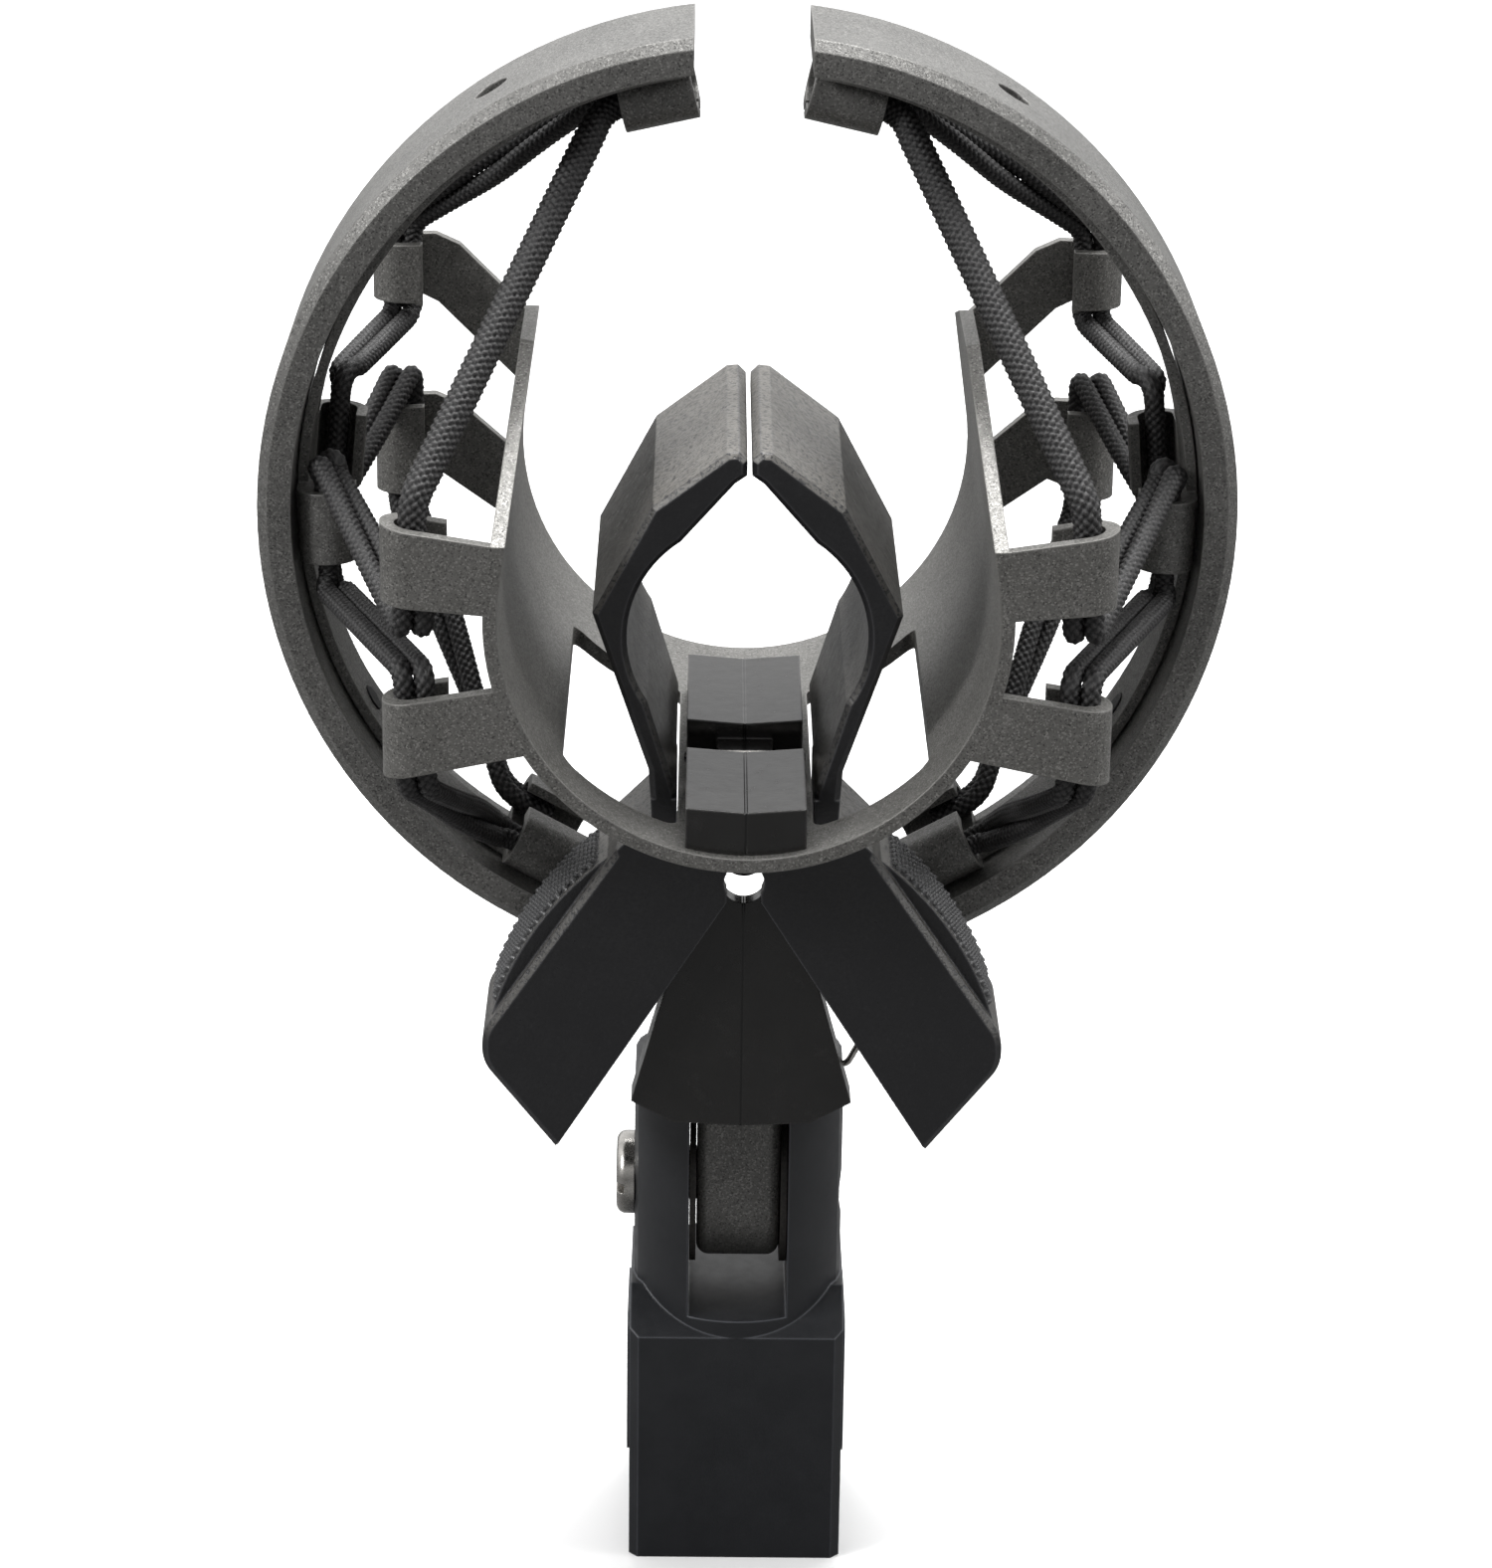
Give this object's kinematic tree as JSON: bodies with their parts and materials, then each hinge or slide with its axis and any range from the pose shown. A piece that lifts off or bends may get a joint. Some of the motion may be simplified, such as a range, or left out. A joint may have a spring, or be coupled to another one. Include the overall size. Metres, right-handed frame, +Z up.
{
  "type": "microphone shock mount",
  "caption": "C-shaped ring with an elastic-cord suspended cradle, a sprung microphone clip with squeeze handles, and a tilting threaded stand socket.",
  "frame": {"origin": "centre of the stand thread's mouth, under the stand socket", "axes": "+X right, +Y from the open front to the back along the microphone, +Z up"},
  "size_m": [0.085, 0.054, 0.1437],
  "materials": {
    "ring_paint": "fine metallic texture, satin",
    "cradle_paint": "fine metallic texture, satin",
    "clip_plastic": "fine grained black",
    "socket_plastic": "satin black",
    "steel": "bright",
    "dark_steel": "blackened",
    "brass": "machined",
    "washer_fibre": "matt",
    "cord": "woven sheath"
  },
  "bodies": {
    "stand": {"stand_socket": "socket_plastic", "thread_insert": "brass", "tilt_bolt": "steel", "tilt_nut": "steel", "right_friction_washer": "washer_fibre", "left_friction_washer": "washer_fibre"},
    "ring": {"outer_ring": "ring_paint", "right_hook_liner": "ring_paint", "left_hook_liner": "ring_paint", "liner_screws": "dark_steel", "swivel_tongue": "ring_paint", "tongue_screws": "dark_steel", "right_front_cord": "cord", "left_front_cord": "cord", "right_rear_cord": "cord", "left_rear_cord": "cord"},
    "cradle": {"cradle_frame": "cradle_paint", "clip_body": "clip_plastic", "retaining_pin": "steel", "clip_pivot_pin": "steel", "clip_spring": "steel"},
    "right_half": {"right_clip_half": "clip_plastic"},
    "left_half": {"left_clip_half": "clip_plastic"}
  },
  "joints": [
    {"name": "tilt", "type": "hinge", "parent": "stand", "child": "ring", "pos_m": [0, 0, 0.0351], "axis": [1, 0, 0], "range_deg": [-90, 90]},
    {"name": "cradle_float", "type": "slide", "parent": "ring", "child": "cradle", "axis": [0, 0, 1], "range_m": [-0.0015, 0.0015], "stiffness_N_per_m": 600, "deforming": ["right_front_cord", "left_front_cord", "right_rear_cord", "left_rear_cord"]},
    {"name": "right_squeeze", "type": "hinge", "parent": "cradle", "child": "right_half", "pos_m": [0, -0.009, 0.0744], "axis": [0, 1, 0], "range_deg": [0, 10], "deforming": ["clip_spring"]},
    {"name": "left_squeeze", "type": "hinge", "parent": "cradle", "child": "left_half", "pos_m": [0, -0.009, 0.0744], "axis": [0, -1, 0], "range_deg": [0, 10]}
  ],
  "couplings": [
    {"joint": "left_squeeze", "follows": "right_squeeze", "ratio": 1}
  ]
}
